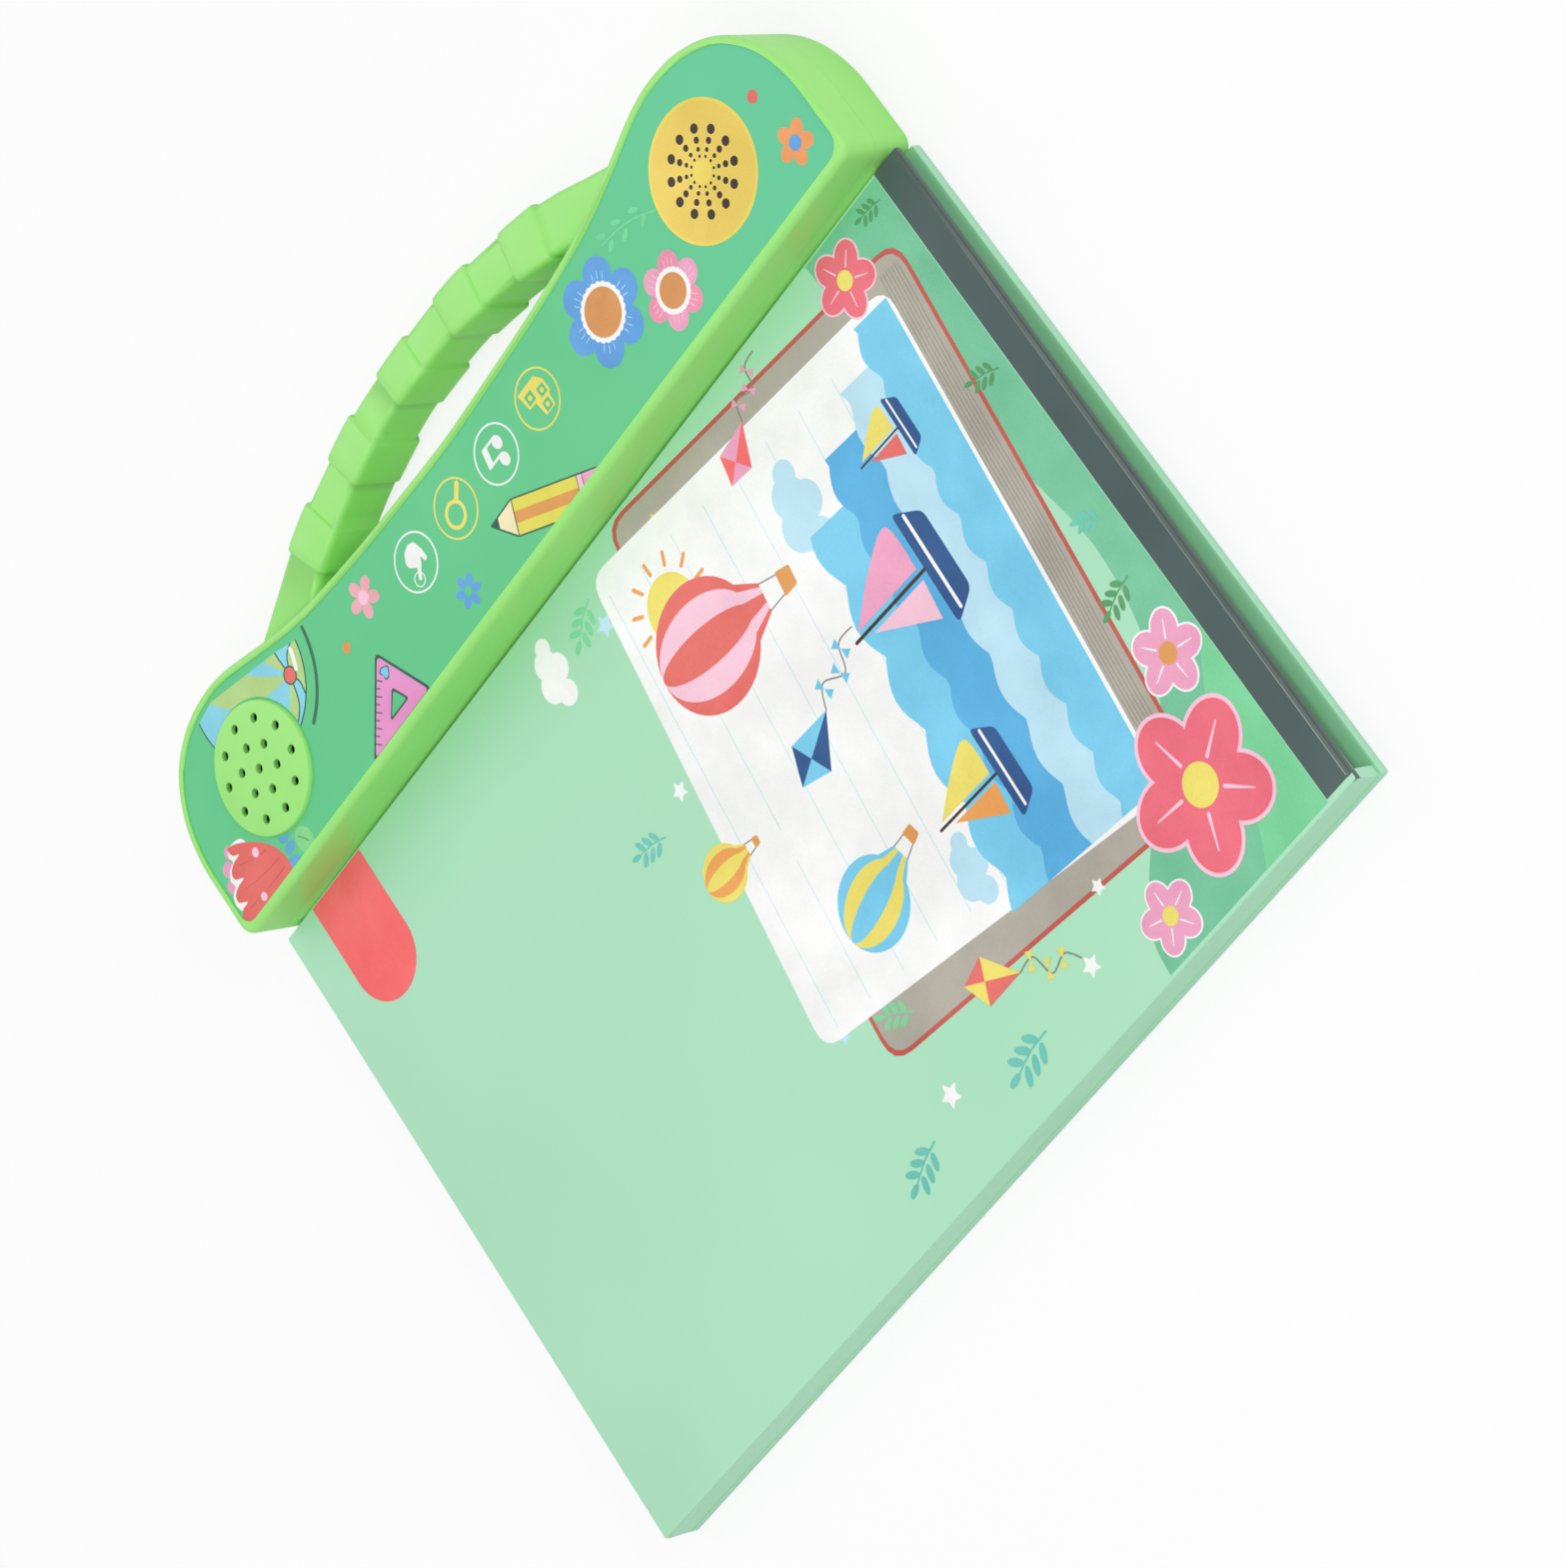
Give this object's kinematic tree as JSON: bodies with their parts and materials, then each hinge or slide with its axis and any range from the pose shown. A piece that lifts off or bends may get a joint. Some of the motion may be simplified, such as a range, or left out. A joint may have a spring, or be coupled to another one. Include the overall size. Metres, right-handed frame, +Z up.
{
  "type": "sound book",
  "caption": "Hard-cover children's book lying closed, with a plastic sound housing and an arched carrying handle along its fore edge.",
  "frame": {"origin": "on the table under the middle of the closed book's overall box", "axes": "+X from the spine to the handle, +Y from the tail of the book to its head, +Z up out of the front cover"},
  "size_m": [0.2236, 0.2484, 0.0211],
  "materials": {
    "cover_board": "glossy printed paper over board",
    "page_paper": "smooth coated paper",
    "sheet_plastic": "matt sheet",
    "green_plastic": "glossy moulded plastic",
    "film_plastic": "smooth printed film",
    "white_plastic": "matt moulded plastic",
    "grey_rubber": "matt silicone rubber",
    "board_laminate": "green solder mask",
    "black_plastic": "matt moulded plastic",
    "steel": "bright zinc plate",
    "cone_paper": "pressed black paper",
    "magnet_iron": "plated magnet cup",
    "cell_jacket": "plain printed jacket"
  },
  "bodies": {
    "book": {"back_cover_and_spine": "cover_board", "touch_sheet": "sheet_plastic", "page_block": "page_paper", "top_shell": "green_plastic", "bottom_shell": "green_plastic", "handle": "green_plastic", "printed_film": "film_plastic", "key_mat": "grey_rubber", "circuit_board": "board_laminate", "sound_chip": "black_plastic", "switch_body": "steel", "speaker_frame": "steel", "speaker_cone": "cone_paper", "speaker_magnet": "magnet_iron", "battery_1": "cell_jacket", "battery_2": "cell_jacket", "battery_bridge": "steel", "battery_contact_1": "steel", "battery_contact_2": "steel", "battery_door": "green_plastic", "door_screw": "steel", "housing_screw_1": "steel", "housing_screw_2": "steel", "housing_screw_3": "steel", "housing_screw_4": "steel", "housing_screw_5": "steel", "housing_screw_6": "steel", "housing_screw_7": "steel"},
    "front_cover": {"front_cover": "cover_board"},
    "hand_key": {"hand_key": "white_plastic"},
    "lens_key": {"lens_key": "white_plastic"},
    "music_key": {"music_key": "white_plastic"},
    "blocks_key": {"blocks_key": "white_plastic"},
    "power_slider": {"power_slider": "black_plastic"}
  },
  "joints": [
    {"name": "cover_hinge", "type": "hinge", "parent": "book", "child": "front_cover", "pos_m": [-0.11183, 0, 0.00855], "axis": [0, -1, 0], "range_deg": [0, 180]},
    {"name": "hand_key_press", "type": "slide", "parent": "book", "child": "hand_key", "axis": [0, 0, -1], "range_m": [0, 0.0005], "stiffness_N_per_m": 1500, "springref_m": -0.0003},
    {"name": "lens_key_press", "type": "slide", "parent": "book", "child": "lens_key", "axis": [0, 0, -1], "range_m": [0, 0.0005], "stiffness_N_per_m": 1500, "springref_m": -0.0003},
    {"name": "music_key_press", "type": "slide", "parent": "book", "child": "music_key", "axis": [0, 0, -1], "range_m": [0, 0.0005], "stiffness_N_per_m": 1500, "springref_m": -0.0003},
    {"name": "blocks_key_press", "type": "slide", "parent": "book", "child": "blocks_key", "axis": [0, 0, -1], "range_m": [0, 0.0005], "stiffness_N_per_m": 1500, "springref_m": -0.0003},
    {"name": "power_slide", "type": "slide", "parent": "book", "child": "power_slider", "axis": [0, 1, 0], "range_m": [0, 0.003]}
  ]
}
